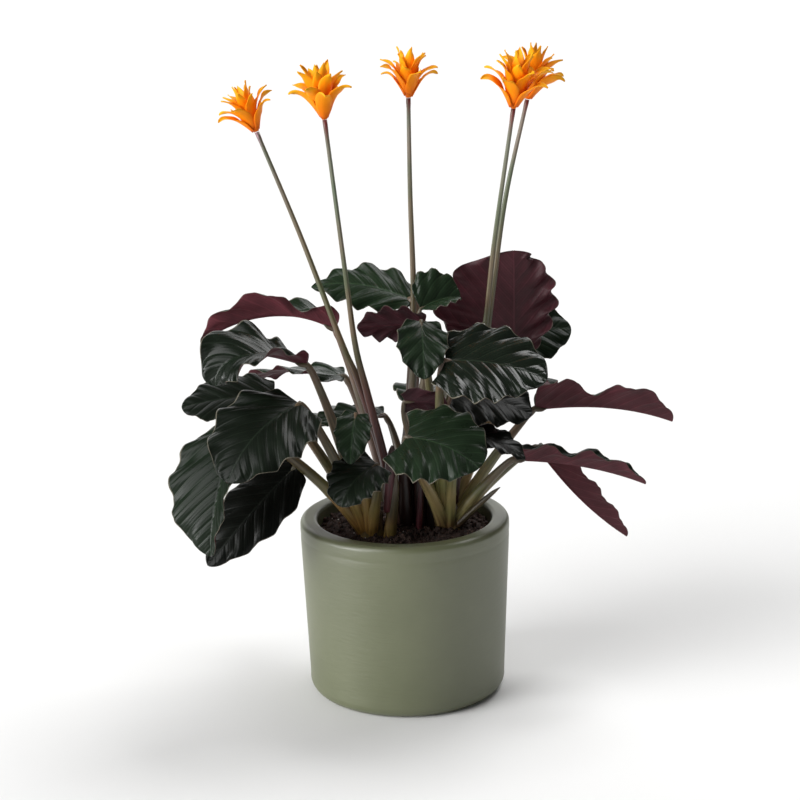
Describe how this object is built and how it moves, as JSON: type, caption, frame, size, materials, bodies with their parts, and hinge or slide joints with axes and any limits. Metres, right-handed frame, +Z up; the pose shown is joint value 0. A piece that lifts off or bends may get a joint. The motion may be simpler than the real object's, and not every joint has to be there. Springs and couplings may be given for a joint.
{
  "type": "potted flowering prayer plant",
  "caption": "Prayer plant with ruffled dark leaves, purple underneath, and orange flower heads on tall stems, in a round sage-green pot.",
  "frame": {"origin": "centre of the pot's foot, on the surface that it stands on", "axes": "+Z up, -Y towards the front that the picture shows, +X to the right of that view"},
  "size_m": [0.3764, 0.2856, 0.4908],
  "materials": {
    "pot": "satin sage-green glaze",
    "soil": "matte, crumbly, dark brown",
    "shoot": "satin olive-brown stem",
    "leaf": "dark green glossy top, wine-purple underside",
    "bloom": "matte orange bracts"
  },
  "bodies": {
    "root": {"bloom_far_left": "bloom", "bloom_far_right": "bloom", "bloom_left": "bloom", "bloom_middle": "bloom", "bloom_right": "bloom", "leaf_back_high": "leaf", "leaf_back_left": "leaf", "leaf_back_low": "leaf", "leaf_back_middle": "leaf", "leaf_back_right": "leaf", "leaf_centre_front": "leaf", "leaf_front": "leaf", "leaf_inner_red": "leaf", "leaf_left_back": "leaf", "leaf_left_broad": "leaf", "leaf_left_far": "leaf", "leaf_left_hanging": "leaf", "leaf_left_high": "leaf", "leaf_left_low": "leaf", "leaf_right_glossy": "leaf", "leaf_right_high": "leaf", "leaf_right_low": "leaf", "leaf_right_middle": "leaf", "leaf_right_shaded": "leaf", "leaf_small_front": "leaf", "leaf_small_left": "leaf", "leaf_small_right": "leaf", "leaf_top_left": "leaf", "leaf_top_purple": "leaf", "leaf_top_right": "leaf", "leaf_upper_back": "leaf", "leaf_upper_left": "leaf", "leaf_upper_purple": "leaf", "pot": "pot", "shoot_back": "shoot", "shoot_left": "shoot", "shoot_middle": "shoot", "shoot_right": "shoot", "soil": "soil"}
  },
  "joints": []
}
